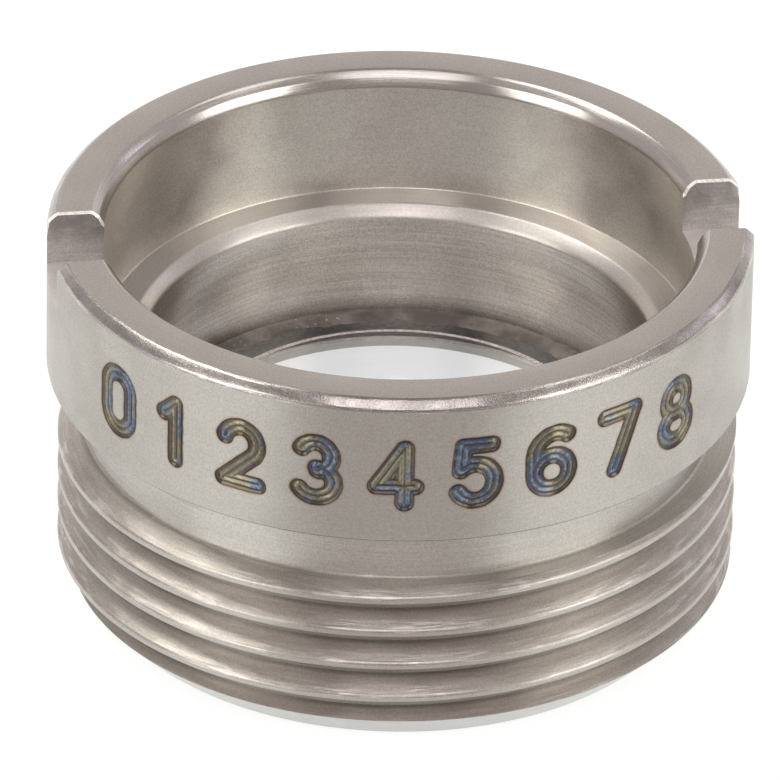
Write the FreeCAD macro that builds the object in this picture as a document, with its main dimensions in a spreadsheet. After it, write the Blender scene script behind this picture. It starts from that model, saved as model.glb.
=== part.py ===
import FreeCAD, Part
import math
import os
import Sketcher

# Mounted aspheric lens: a turned steel cell that screws into a holder, the moulded lens
# glued in its lower end, and the ring of cured adhesive between them.
# The optical axis is Z. The threaded end stands on Z = 0 and the slotted collar is on top.

doc = FreeCAD.newDocument("MountedLens")

# Driving dimensions in millimetres, angles in degrees
SIZES = (
    ("cell_height", 5.45, "Cell, end to end"),
    ("collar_step", 0.15, "How far the collar stands out past the thread's crests"),
    ("collar_height", 2.1, "Collar, from its shoulder to the top face"),
    ("collar_edge_break", 0.03, "Edge break on the collar's shoulder"),
    ("rim_outer_chamfer", 0.12, "Chamfer outside the top face"),
    ("rim_inner_chamfer", 0.15, "Chamfer inside the top face"),
    ("relief_width", 0.85, "Width of the thread relief behind the collar"),
    ("relief_clearance", 0.05, "How far the relief goes below the thread's root"),
    ("relief_fillet", 0.05, "Tool radius in the relief's corners"),
    ("thread_diameter", 9.0, "Thread, over its crests"),
    ("thread_pitch", 0.5, "Thread pitch"),
    ("thread_flank_angle", 30.0, "Half of the angle between the thread's flanks"),
    ("thread_crest", 0.09, "Flat left on the thread's crest"),
    ("thread_root", 0.06, "Flat in the thread's root"),
    ("thread_entry", 0.26, "Where the groove's middle starts below the end face, on the +X side"),
    ("thread_runout", 0.34, "How far the groove's middle runs on into the relief"),
    ("thread_lead", 0.55, "Lead-in chamfer at the thread's end"),
    ("cutter_overlap", 0.03, "How far the thread tool stands out past the crests"),
    ("front_bore_depth", 1.78, "Front bore, from the top face to its ledge"),
    ("pocket_wall", 1.13, "Wall between the thread's crests and the lens pocket"),
    ("ledge_width", 0.53, "Ledge, from the front bore's wall in to the lens pocket's wall"),
    ("pocket_chamfer", 0.15, "Chamfer at the pocket's mouth"),
    ("seat_thickness", 0.37, "Lip that the lens stands on"),
    ("seat_overlap", 0.15, "How far the lip reaches in under the lens"),
    ("exit_chamfer", 0.1, "Chamfer of the lip's opening at the end face"),
    ("slot_width", 1.24, "Spanner slots, across"),
    ("slot_depth", 0.75, "Spanner slots, from the top face"),
    ("bond_gap", 0.12, "Gap for the adhesive, between the pocket's wall and the lens's rim"),
    ("lens_rim_chamfer", 0.08, "Chamfer on both edges of the lens's rim"),
    ("flange_thickness", 1.75, "Lens at its flat flange"),
    ("flange_width", 0.5, "Flat flange, from the lens's rim in to the aspheric surface"),
    ("optic_step", 0.04, "Step from the flange up to the aspheric surface"),
    ("vertex_radius", 9.26, "Aspheric surface, radius of curvature at the vertex"),
    ("conic_constant", -0.6, "Aspheric surface, conic constant"),
    ("bond_recess", 0.03, "Adhesive, how far it stays below the lens's chamfer"),
    ("bond_climb", 0.08, "Adhesive, how far it climbs the pocket's wall"),
)

# Points along the aspheric curve, from the axis to its edge
ASPHERE_POINTS = 9
# How closely an edge has to lie to where it is looked for, in millimetres
EDGE_TOLERANCE = 1e-4
# The least metal that a cut takes away, in cubic millimetres
LEAST_CUT = 0.1

sheet = doc.addObject("Spreadsheet::Sheet", "Sizes")
for row, (alias, number, meaning) in enumerate(SIZES, start=1):
    sheet.set("A%d" % row, meaning)
    sheet.set("B%d" % row, str(number))
    sheet.setAlias("B%d" % row, alias)
doc.recompute()


def size(alias):
    """A driving dimension as a number."""
    return float(sheet.get(alias))


def value(expression):
    """What an expression on the sheet comes to."""
    return float(sheet.evalExpression(expression))


# Heights and radii that several features share, as expressions on the sheet
SHOULDER = "(Sizes.cell_height - Sizes.collar_height)"
THREAD_TOP = "(Sizes.cell_height - Sizes.collar_height - Sizes.relief_width)"
LEDGE = "(Sizes.cell_height - Sizes.front_bore_depth)"
THREAD_R = "(Sizes.thread_diameter / 2)"
COLLAR_R = "(Sizes.thread_diameter / 2 + Sizes.collar_step)"
FLANK = "tan(Sizes.thread_flank_angle * 1 deg)"
HALF_GROOVE = "((Sizes.thread_pitch - Sizes.thread_crest) / 2)"
HALF_ROOT = "(Sizes.thread_root / 2)"
ROOT_R = "(%s - (%s - %s) / %s)" % (THREAD_R, HALF_GROOVE, HALF_ROOT, FLANK)
RELIEF_R = "(%s - Sizes.relief_clearance)" % ROOT_R
POCKET_R = "(%s - Sizes.pocket_wall)" % THREAD_R
LENS_R = "(%s - Sizes.bond_gap)" % POCKET_R
EXIT_R = "(%s - Sizes.seat_overlap)" % LENS_R
FRONT_R = "(%s + Sizes.ledge_width)" % POCKET_R
LENS_TOP = "(Sizes.seat_thickness + Sizes.flange_thickness - Sizes.lens_rim_chamfer)"


def origin_plane(body, role):
    """One of the body's own origin planes, found by its role."""
    for feature in body.Origin.OriginFeatures:
        if feature.Role == role:
            return feature
    raise LookupError(role)


def outline(body, name, role, corners):
    """A closed sketch of straight edges; each corner is a pair of expressions on the sheet."""
    sketch = body.newObject("Sketcher::SketchObject", name)
    sketch.AttachmentSupport = [(origin_plane(body, role), "")]
    sketch.MapMode = "FlatFace"
    points = []
    for across, up in corners:
        points.append(FreeCAD.Vector(value(across), value(up), 0))
    count = len(points)
    for i, point in enumerate(points):
        sketch.addGeometry(Part.LineSegment(point, points[(i + 1) % count]), False)
    for i in range(count):
        sketch.addConstraint(Sketcher.Constraint("Coincident", i, 2, (i + 1) % count, 1))
    for i, (corner, point) in enumerate(zip(corners, points)):
        for kind, expression, distance in zip(("DistanceX", "DistanceY"), corner, point):
            index = sketch.addConstraint(Sketcher.Constraint(kind, -1, 1, i, 1, distance))
            sketch.setExpression("Constraints[%d]" % index, expression)
    return sketch


def turned(body, name, sketch):
    """The sketch turned a full circle about the optical axis."""
    feature = body.newObject("PartDesign::Revolution", name)
    feature.Profile = sketch
    feature.ReferenceAxis = (sketch, ["V_Axis"])
    feature.Angle = 360.0
    return feature


def circles_at(shape, radius, height):
    """The names of the shape's round edges about Z with this radius at this height."""
    names = []
    for number, edge in enumerate(shape.Edges, start=1):
        if not isinstance(edge.Curve, Part.Circle):
            continue
        same_radius = abs(edge.Curve.Radius - radius) < EDGE_TOLERANCE
        same_height = abs(edge.Curve.Center.z - height) < EDGE_TOLERANCE
        if same_radius and same_height:
            names.append("Edge%d" % number)
    return names


# Lens cell
cell = doc.addObject("PartDesign::Body", "LensCell")
cell.Label = "lens_cell"
section = outline(cell, "CellSection", "XZ_Plane", (
    (EXIT_R + " + Sizes.exit_chamfer", "0"),
    (THREAD_R + " - Sizes.thread_lead", "0"),
    (THREAD_R, "Sizes.thread_lead"),
    (THREAD_R, THREAD_TOP),
    (RELIEF_R, THREAD_TOP),
    (RELIEF_R, SHOULDER),
    (COLLAR_R + " - Sizes.collar_edge_break", SHOULDER),
    (COLLAR_R, SHOULDER + " + Sizes.collar_edge_break"),
    (COLLAR_R, "Sizes.cell_height - Sizes.rim_outer_chamfer"),
    (COLLAR_R + " - Sizes.rim_outer_chamfer", "Sizes.cell_height"),
    (FRONT_R + " + Sizes.rim_inner_chamfer", "Sizes.cell_height"),
    (FRONT_R, "Sizes.cell_height - Sizes.rim_inner_chamfer"),
    (FRONT_R, LEDGE),
    (POCKET_R + " + Sizes.pocket_chamfer", LEDGE),
    (POCKET_R, LEDGE + " - Sizes.pocket_chamfer"),
    (POCKET_R, "Sizes.seat_thickness"),
    (EXIT_R, "Sizes.seat_thickness"),
    (EXIT_R, "Sizes.exit_chamfer"),
))
blank = turned(cell, "Blank", section)
doc.recompute()

# The relief tool's nose leaves a small radius in both corners of the groove
corners = circles_at(blank.Shape, value(RELIEF_R), value(SHOULDER))
corners += circles_at(blank.Shape, value(RELIEF_R), value(THREAD_TOP))
relief_corners = cell.newObject("PartDesign::Fillet", "ReliefCorners")
relief_corners.Base = (blank, corners)
relief_corners.setExpression("Radius", "Sizes.relief_fillet")
doc.recompute()

# One pass of a cutter across the top face makes both spanner slots
half_length = COLLAR_R + " + Sizes.slot_width"
half_width = "Sizes.slot_width / 2"
channel = outline(cell, "SlotChannel", "XY_Plane", (
    ("-(" + half_length + ")", "-(" + half_width + ")"),
    (half_length, "-(" + half_width + ")"),
    (half_length, half_width),
    ("-(" + half_length + ")", half_width),
))
channel.setExpression("AttachmentOffset.Base.z", "Sizes.cell_height")
slots = cell.newObject("PartDesign::Pocket", "SpannerSlots")
slots.Profile = channel
slots.Type = "Length"
slots.setExpression("Length", "Sizes.slot_depth")
doc.recompute()

# The thread is one helical groove that starts below the end face and runs out in the relief
mouth = HALF_GROOVE + " + Sizes.cutter_overlap * " + FLANK
groove = outline(cell, "ThreadGroove", "XZ_Plane", (
    (ROOT_R, "-Sizes.thread_entry - " + HALF_ROOT),
    (THREAD_R + " + Sizes.cutter_overlap", "-Sizes.thread_entry - (" + mouth + ")"),
    (THREAD_R + " + Sizes.cutter_overlap", "-Sizes.thread_entry + (" + mouth + ")"),
    (ROOT_R, "-Sizes.thread_entry + " + HALF_ROOT),
))
thread = cell.newObject("PartDesign::SubtractiveHelix", "Thread")
thread.Profile = groove
thread.ReferenceAxis = (groove, ["V_Axis"])
thread.Mode = "pitch-height-angle"
thread.setExpression("Pitch", "Sizes.thread_pitch")
thread.setExpression("Height", THREAD_TOP + " + Sizes.thread_runout + Sizes.thread_entry")
thread.Angle = 0.0
thread.LeftHanded = False
thread.Reversed = False
cell.Tip = thread
doc.recompute()


def conic_root(distance):
    """The square root in the conic formula, at this distance from the axis."""
    return math.sqrt(1 - (1 + size("conic_constant")) * (distance / size("vertex_radius")) ** 2)


def sag(distance):
    """Depth of the aspheric surface below its vertex."""
    return distance ** 2 / (size("vertex_radius") * (1 + conic_root(distance)))


def slope(distance):
    """How steeply the aspheric surface falls away from the axis."""
    return distance / (size("vertex_radius") * conic_root(distance))


def lens_shape():
    """The moulded lens: a flat base, a chamfered rim, a flat flange and the aspheric surface."""
    base = size("seat_thickness")
    rim = value(LENS_R)
    chamfer = size("lens_rim_chamfer")
    flange = base + size("flange_thickness")
    step = size("optic_step")
    optic = rim - size("flange_width") - step
    vertex = flange + step + sag(optic)
    curve = []
    for i in range(ASPHERE_POINTS):
        distance = optic * i / (ASPHERE_POINTS - 1)
        curve.append(FreeCAD.Vector(distance, 0, vertex - sag(distance)))
    at_vertex = FreeCAD.Vector(1, 0, 0)
    at_edge = FreeCAD.Vector(1, 0, -slope(optic))
    surface = Part.BSplineCurve()
    surface.interpolate(curve, InitialTangent=at_vertex, FinalTangent=at_edge)
    side = [
        curve[-1],
        FreeCAD.Vector(optic + step, 0, flange),
        FreeCAD.Vector(rim - chamfer, 0, flange),
        FreeCAD.Vector(rim, 0, flange - chamfer),
        FreeCAD.Vector(rim, 0, base + chamfer),
        FreeCAD.Vector(rim - chamfer, 0, base),
        FreeCAD.Vector(0, 0, base),
        curve[0],
    ]
    edges = [surface.toShape()]
    for start, end in zip(side, side[1:]):
        edges.append(Part.makeLine(start, end))
    face = Part.Face(Part.Wire(edges))
    return face.revolve(FreeCAD.Vector(0, 0, 0), FreeCAD.Vector(0, 0, 1), 360)


# Aspheric lens
lens = doc.addObject("Part::Feature", "AsphericLens")
lens.Label = "aspheric_lens"
lens.Shape = lens_shape()
lens.Placement = FreeCAD.Placement()

# Ring of adhesive that fills the gap between the lens's rim and the pocket
bond = doc.addObject("PartDesign::Body", "BondRing")
bond.Label = "bond_ring"
bond_section = outline(bond, "BondSection", "XZ_Plane", (
    (LENS_R, "Sizes.seat_thickness + Sizes.lens_rim_chamfer"),
    (LENS_R + " - Sizes.lens_rim_chamfer", "Sizes.seat_thickness"),
    (POCKET_R, "Sizes.seat_thickness"),
    (POCKET_R, LENS_TOP + " - Sizes.bond_recess + Sizes.bond_climb"),
    (LENS_R, LENS_TOP + " - Sizes.bond_recess"),
))
turned(bond, "BondTurned", bond_section)
doc.recompute()

# Every feature is sound, each cut has taken metal away, and the pieces go to their files
for item in doc.Objects:
    if "Invalid" in item.State or "Error" in item.State:
        raise RuntimeError("%s failed: %s" % (item.Name, item.State))
metal = blank.Shape.Volume
for cut in (slots, thread):
    if cut.Shape.Volume > metal - LEAST_CUT:
        raise RuntimeError("%s cuts nothing" % cut.Name)
    metal = cut.Shape.Volume

os.makedirs("parts", exist_ok=True)
for piece in (cell, lens, bond):
    shape = piece.Shape
    if shape.isNull() or not shape.isValid() or len(shape.Solids) != 1:
        raise RuntimeError("%s is not one sound solid" % piece.Label)
    shape.exportStep("parts/%s.step" % piece.Label)
    box = shape.optimalBoundingBox(True, False)
    spans = (box.XLength, box.YLength, box.ZLength)
    print(piece.Label, "%.3f mm3" % shape.Volume, "%.3f x %.3f x %.3f mm" % spans)
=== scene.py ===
"""Mounted aspheric lens: the finished pieces, the studio and the camera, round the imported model."""

import math

import bmesh
import bpy
from bpy.props import FloatProperty, FloatVectorProperty, IntProperty, PointerProperty
from mathutils import Matrix, Vector, noise


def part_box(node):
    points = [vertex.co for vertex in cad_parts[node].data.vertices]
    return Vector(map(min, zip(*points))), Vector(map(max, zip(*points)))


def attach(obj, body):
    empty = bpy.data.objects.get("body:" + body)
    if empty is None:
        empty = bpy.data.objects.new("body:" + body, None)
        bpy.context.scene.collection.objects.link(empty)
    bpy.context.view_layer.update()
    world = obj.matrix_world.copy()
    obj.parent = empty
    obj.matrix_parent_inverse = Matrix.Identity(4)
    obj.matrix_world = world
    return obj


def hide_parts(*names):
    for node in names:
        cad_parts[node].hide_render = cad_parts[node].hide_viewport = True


bl_info = {
    "name": "Mounted Aspheric Lens",
    "version": (1, 0, 0),
    "blender": (4, 5, 0),
    "location": "View3D > Sidebar > Lens",
    "description": "Models a threaded lens cell, its moulded lens and the adhesive between them",
    "category": "Object",
}

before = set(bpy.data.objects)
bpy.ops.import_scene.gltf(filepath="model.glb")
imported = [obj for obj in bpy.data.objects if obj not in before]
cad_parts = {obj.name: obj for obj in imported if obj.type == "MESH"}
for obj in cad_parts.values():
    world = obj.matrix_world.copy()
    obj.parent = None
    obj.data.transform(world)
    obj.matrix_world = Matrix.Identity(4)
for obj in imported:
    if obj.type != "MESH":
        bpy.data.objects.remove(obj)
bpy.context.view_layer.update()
CELL_LOW, CELL_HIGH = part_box("lens_cell")
LENS_LOW, LENS_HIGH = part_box("aspheric_lens")
BOND_LOW, BOND_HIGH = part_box("bond_ring")

# Shapes are modelled in millimetres and brought to metres when they are finished
MM = 0.001
# Columns of faces round the axis
CELL_STEPS = 360
LENS_STEPS = 192
# Points closer than this, in millimetres, are one point
WELD = 1e-4
# Corners of the carved cell that are nearer than this, in millimetres, are one corner
SLIVER = 2e-3
# The carved cell's corners are put in order along this direction before they are welded, so
# that the same ones are kept on every run
WELD_ORDER = Vector((0.731, 0.546, 0.408))
# How closely a face of the carved cell lies to the surface it belongs to, in millimetres
NEAR = 4e-3
# The denoiser treats smoother metal than this as a mirror, so each finish stays on one side of it
MIRROR_ROUGHNESS = 0.274
MIRROR_MARGIN = 0.01
# How far a cutting tool stands clear of the metal, in millimetres
CLEARANCE = 0.6
# What the collar's stroke attribute says away from the numerals; 1 is a stroke's edge
NO_STROKE = 2.0
WHITE = (1, 1, 1, 1)
Z_AXIS = Vector((0, 0, 1))


def length(name, description, default):
    """A length property; the default is given in millimetres."""
    return FloatProperty(
        name=name, description=description, default=default * MM,
        min=0.0, unit="LENGTH", subtype="DISTANCE", precision=5)


def colour(name, description, default):
    """A colour property."""
    return FloatVectorProperty(
        name=name, description=description, default=default,
        subtype="COLOR", size=3, min=0.0, max=1.0)


class CellSizes(bpy.types.PropertyGroup):
    """Sizes of the turned cell."""

    height: length("Height", "Cell, end to end", CELL_HIGH.z / MM)
    collar_radius: length("Collar radius", "Collar, outside", 4.65)
    collar_height: length("Collar height", "From the shoulder to the top face", 2.1)
    collar_edge: length("Collar edge", "Edge break on the collar's shoulder", 0.03)
    outer_chamfer: length("Outer chamfer", "Chamfer outside the top face", 0.12)
    inner_chamfer: length("Inner chamfer", "Chamfer inside the top face", 0.15)
    relief_width: length("Relief width", "Groove between the collar and the thread", 0.85)
    relief_radius: length("Relief radius", "Bottom of that groove", 4.147)
    relief_fillet: length("Relief fillet", "Tool radius in the groove's corners", 0.05)
    bore_radius: length("Bore radius", "Front bore", 3.9)
    bore_depth: length("Bore depth", "From the top face to the ledge", 1.78)
    pocket_radius: length("Pocket radius", "Lens pocket below the ledge", 3.37)
    pocket_chamfer: length("Pocket chamfer", "Chamfer at the pocket's mouth", 0.15)
    seat_height: length("Seat height", "Lip that the lens stands on", 0.37)
    exit_radius: length("Exit radius", "Opening through the lip", 3.1)
    exit_chamfer: length("Exit chamfer", "Chamfer of the opening at the end face", 0.1)
    lip_edge: length("Lip edge", "Chamfer on the lip, under the lens", 0.07)
    slot_width: length("Slot width", "Spanner slots, across", 1.24)
    slot_depth: length("Slot depth", "Spanner slots, from the top face", 0.75)
    edge_radius: length("Edge radius", "Rounding left on the turned edges", 0.012)
    burr_width: length("Burr width", "Ragged bevel along the slots' edges", 0.03)


class ThreadSizes(bpy.types.PropertyGroup):
    """Sizes of the outside thread."""

    radius: length("Radius", "Thread, over its crests", 4.5)
    pitch: length("Pitch", "From crest to crest", 0.5)
    crest: length("Crest", "Flat on the crest", 0.085)
    root: length("Root", "Flat in the root", 0.06)
    depth: length("Depth", "From crest to root", 0.303)
    lead: length("Lead", "Lead-in chamfer at the thread's end", 0.55)
    entry: length("Entry", "Groove's middle below the end face, on the +X side", 0.26)
    crest_radius: length("Crest radius", "Rounding on the crest's lower edge", 0.014)
    wear: length("Wear", "Rounding worn on the crest's upper edge", 0.03)


class MarkSizes(bpy.types.PropertyGroup):
    """Sizes of the plain numerals that are laser-marked on the collar."""

    azimuth: FloatProperty(
        name="Azimuth", description="Where the middle numeral stands",
        default=math.radians(-98.0), subtype="ANGLE", unit="ROTATION")
    pitch: FloatProperty(
        name="Pitch", description="From one numeral to the next",
        default=math.radians(12.8), subtype="ANGLE", unit="ROTATION")
    height: length("Height", "Numerals, between the strokes' middle lines", 0.82)
    stroke_width: length("Stroke width", "Strokes, across", 0.26)
    depth: length("Depth", "Deepest point of the strokes", 0.03)
    wander: FloatProperty(
        name="Wander", description="Unevenness of the strokes' width", default=0.05, min=0.0)
    fineness: IntProperty(name="Fineness", description="Cuts across a small face", default=4, min=1)


class LensSizes(bpy.types.PropertyGroup):
    """Sizes of the moulded lens."""

    radius: length("Radius", "Lens, outside", 3.25)
    rim_chamfer: length("Rim chamfer", "Chamfer on both edges of the rim", 0.08)
    flange: length("Flange", "Thickness at the flat flange", 1.75)
    flange_width: length("Flange width", "From the rim in to the aspheric surface", 0.5)
    step: length("Step", "From the flange up to the aspheric surface", 0.04)
    vertex_radius: length("Vertex radius", "Radius of curvature at the vertex", 9.26)
    conic: FloatProperty(name="Conic", description="Conic constant", default=-0.6)
    frosted: length("Frosted ring", "Left by the mould round the aspheric surface", 0.11)
    rings: IntProperty(name="Rings", description="Rings of faces", default=28, min=4)


class BondSizes(bpy.types.PropertyGroup):
    """Sizes of the adhesive ring."""

    inner: length("Inner radius", "Inside, at the lens's rim", 3.25)
    outer: length("Outer radius", "Outside, at the pocket's wall", 3.37)
    film: length("Film", "Thickness of the adhesive over the flange's edge", 0.03)
    overlap: length("Overlap", "How far that film runs in over the flange", 0.17)


class Colours(bpy.types.PropertyGroup):
    """Colours of the steel, the marks, the glass and the adhesive."""

    steel_tint: colour("Steel tint", "Multiplies the colour of every machined surface", (1, 1, 1))
    # Partly worn metal, partly a painted highlight on the worn streaks under the crests
    torn_metal: colour("Torn metal sheen", "Worn patches under the thread's crests", (0.8, 0.755, 0.745))
    # Painted shade in the thread's roots
    root_dirt: colour("Root shade", "Dirt in the thread's roots", (0.13, 0.11, 0.095))
    # Darkens the upper part of the slots' walls in patches
    slot_soil: colour("Slot darkening", "Dull patches on the slots' walls", (0.3, 0.275, 0.27))
    mark_halo: colour("Mark halo", "Scorched metal round the numerals", (0.34, 0.235, 0.155))
    mark_blue: colour("Mark blue", "Heat colour in the strokes", (0.10, 0.14, 0.225))
    mark_olive: colour("Mark olive", "Heat colour in the strokes", (0.205, 0.19, 0.145))
    mark_straw: colour("Mark straw", "Heat colour on the ridges", (0.38, 0.345, 0.265))
    mark_brown: colour("Mark brown", "Burnt edges of the strokes", (0.085, 0.06, 0.045))
    glass: colour("Glass", "Coated glass", (0.955, 0.95, 0.975))
    adhesive_dark: colour("Adhesive, dark", "Thick adhesive", (0.095, 0.077, 0.07))
    adhesive_pale: colour("Adhesive, pale", "Cloudy adhesive", (0.23, 0.2, 0.19))


class Studio(bpy.types.PropertyGroup):
    """The camera and the floor."""

    azimuth: FloatProperty(
        name="Azimuth", description="Camera's direction from the object",
        default=math.radians(-98.0), subtype="ANGLE", unit="ROTATION")
    elevation: FloatProperty(
        name="Elevation", description="Camera's height above the horizon",
        default=math.radians(31.21), subtype="ANGLE", unit="ROTATION")
    roll: FloatProperty(
        name="Roll", description="Camera's turn about its own axis",
        default=math.radians(1.14), subtype="ANGLE", unit="ROTATION")
    distance: length("Distance", "Camera's distance from the object", 160.0)
    aim_height: length("Aim height", "Point that the camera looks at", 2.5)
    focal_length: FloatProperty(
        name="Focal length", description="On the camera's sensor, in millimetres",
        default=556.8, min=1.0)
    shift_x: FloatProperty(name="Shift across", description="Share of the frame", default=-0.0091)
    shift_y: FloatProperty(name="Shift up", description="Share of the frame", default=0.0283)
    floor_radius: length("Floor radius", "Size of the round floor", 900.0)


GROUPS = {
    "lens_cell_sizes": CellSizes,
    "lens_thread_sizes": ThreadSizes,
    "lens_mark_sizes": MarkSizes,
    "lens_glass_sizes": LensSizes,
    "lens_bond_sizes": BondSizes,
    "lens_colours": Colours,
    "lens_studio": Studio,
}


def settings(name):
    """The values of one property group, lengths in millimetres and colours with their alpha."""
    group = getattr(bpy.context.scene, name)
    found = {}
    for key in group.__annotations__:
        value = getattr(group, key)
        kind = group.bl_rna.properties[key]
        if kind.subtype == "COLOR":
            value = (*value, 1)
        elif kind.unit == "LENGTH":
            value /= MM
        found[key] = value
    return found


# Nodes of the materials

def add_node(tree, kind, **options):
    """A new node with these options."""
    node = tree.nodes.new(kind)
    for key, option in options.items():
        setattr(node, key, option)
    return node


def new_material(name):
    """A material, its nodes and its Principled shader."""
    material = bpy.data.materials.new(name)
    material.use_nodes = True
    tree = material.node_tree
    return material, tree, tree.nodes["Principled BSDF"]


def object_place(tree):
    """Object coordinates, in metres."""
    return add_node(tree, "ShaderNodeTexCoord").outputs["Object"]


def feed(tree, socket, source):
    """Links a socket to another one, or gives it a plain value."""
    if isinstance(source, bpy.types.NodeSocket):
        tree.links.new(source, socket)
    else:
        socket.default_value = source


def maths(tree, operation, first, second=0.0, clamp=False):
    """The result of one Math node."""
    node = add_node(tree, "ShaderNodeMath", operation=operation, use_clamp=clamp)
    feed(tree, node.inputs[0], first)
    feed(tree, node.inputs[1], second)
    return node.outputs[0]


def ramp(tree, source, low, high, start=0.0, end=1.0, smooth=True):
    """The source brought from low..high to start..end."""
    node = add_node(tree, "ShaderNodeMapRange")
    node.interpolation_type = "SMOOTHSTEP" if smooth else "LINEAR"
    feed(tree, node.inputs["Value"], source)
    feed(tree, node.inputs["From Min"], low)
    feed(tree, node.inputs["From Max"], high)
    feed(tree, node.inputs["To Min"], start)
    feed(tree, node.inputs["To Max"], end)
    return node.outputs["Result"]


def blend_colours(tree, factor, first, second):
    """Two colours mixed by a factor."""
    node = add_node(tree, "ShaderNodeMix", data_type="RGBA")
    feed(tree, node.inputs["Factor"], factor)
    feed(tree, node.inputs["A"], first)
    feed(tree, node.inputs["B"], second)
    return node.outputs["Result"]


def cloud(tree, vector, scale, detail=2.0, roughness=0.5):
    """Noise from 0 to 1 over a vector."""
    node = add_node(tree, "ShaderNodeTexNoise")
    feed(tree, node.inputs["Vector"], vector)
    feed(tree, node.inputs["Scale"], scale)
    feed(tree, node.inputs["Detail"], detail)
    feed(tree, node.inputs["Roughness"], roughness)
    return node.outputs["Fac"]


def new_group(name, inputs, outputs):
    """A shader node group with float inputs and outputs, and its two end nodes."""
    tree = bpy.data.node_groups.new(name, "ShaderNodeTree")
    for label, default in inputs:
        socket = tree.interface.new_socket(label, in_out="INPUT", socket_type="NodeSocketFloat")
        socket.default_value = default
    for label in outputs:
        tree.interface.new_socket(label, in_out="OUTPUT", socket_type="NodeSocketFloat")
    start = tree.nodes.new("NodeGroupInput")
    end = tree.nodes.new("NodeGroupOutput")
    return tree, start.outputs, end.inputs


def use_group(tree, name, **values):
    """A group node in a material, with its own values; returns its outputs."""
    node = add_node(tree, "ShaderNodeGroup", node_tree=bpy.data.node_groups[name])
    for label, value in values.items():
        feed(tree, node.inputs[label.replace("_", " ")], value)
    return node.outputs


def lathe_position(tree):
    """Place on a turned piece: object coordinates, their three parts and the radius, in metres."""
    place = object_place(tree)
    split = add_node(tree, "ShaderNodeSeparateXYZ")
    feed(tree, split.inputs[0], place)
    squares = maths(tree, "ADD",
                    maths(tree, "MULTIPLY", split.outputs["X"], split.outputs["X"]),
                    maths(tree, "MULTIPLY", split.outputs["Y"], split.outputs["Y"]))
    radius = maths(tree, "SQRT", squares)
    return place, split.outputs, radius


def turned_grain_group():
    """Fine lines that a lathe tool leaves round the axis, in streaks of some length."""
    tree, given, out = new_group(
        "Turned Grain",
        (("Line Width", 0.02 * MM), ("Streak Length", 2.0 * MM), ("Detail", 3.0), ("Pitch", 0.0)),
        ("Height", "Streaks"))
    _, axes, radius = lathe_position(tree)
    across = maths(tree, "ADD", axes["Z"], radius)
    turn = maths(tree, "ARCTAN2", axes["Y"], axes["X"])
    climb = maths(tree, "DIVIDE", maths(tree, "MULTIPLY", turn, given["Pitch"]), math.tau)
    across = maths(tree, "SUBTRACT", across, climb)
    # Two layers of different streaks, so that no line runs the whole way round
    layers = []
    for stretch, offset in ((1.0, 0.0), (0.73, 5.37)):
        vector = add_node(tree, "ShaderNodeCombineXYZ")
        reach = maths(tree, "MULTIPLY", given["Streak Length"], stretch)
        for axis, source, size in (("X", axes["X"], reach), ("Y", axes["Y"], reach),
                                   ("Z", across, given["Line Width"])):
            share = maths(tree, "DIVIDE", source, size)
            feed(tree, vector.inputs[axis], maths(tree, "ADD", share, offset))
        layers.append(cloud(tree, vector.outputs[0], 1.0, given["Detail"], 0.6))
    lines = ramp(tree, maths(tree, "ADD", *layers), 0.3, 1.7, smooth=False)
    feed(tree, out["Height"], lines)
    feed(tree, out["Streaks"], ramp(tree, lines, 0.55, 0.72))


def milled_grain_group():
    """Rougher lines that the slot cutter leaves along its path, which is the X axis."""
    tree, given, out = new_group(
        "Milled Grain", (("Line Width", 0.03 * MM), ("Streak Length", 0.6 * MM)),
        ("Height", "Streaks"))
    _, axes, _ = lathe_position(tree)
    vector = add_node(tree, "ShaderNodeCombineXYZ")
    for axis, size in (("X", "Streak Length"), ("Y", "Line Width"), ("Z", "Line Width")):
        feed(tree, vector.inputs[axis], maths(tree, "DIVIDE", axes[axis], given[size]))
    lines = cloud(tree, vector.outputs[0], 1.0, 3.0, 0.6)
    feed(tree, out["Height"], lines)
    feed(tree, out["Streaks"], ramp(tree, lines, 0.55, 0.72))


def speckle_group():
    """Fine even mottling of a matt metal surface."""
    tree, given, out = new_group(
        "Fine Speckle", (("Size", 0.03 * MM),), ("Value", "Patches"))
    place = object_place(tree)
    scale = maths(tree, "DIVIDE", 1.0, given["Size"])
    feed(tree, out["Value"], cloud(tree, place, scale, 2.0, 0.7))
    feed(tree, out["Patches"], cloud(tree, place, maths(tree, "MULTIPLY", scale, 0.03), 2.0))


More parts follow.
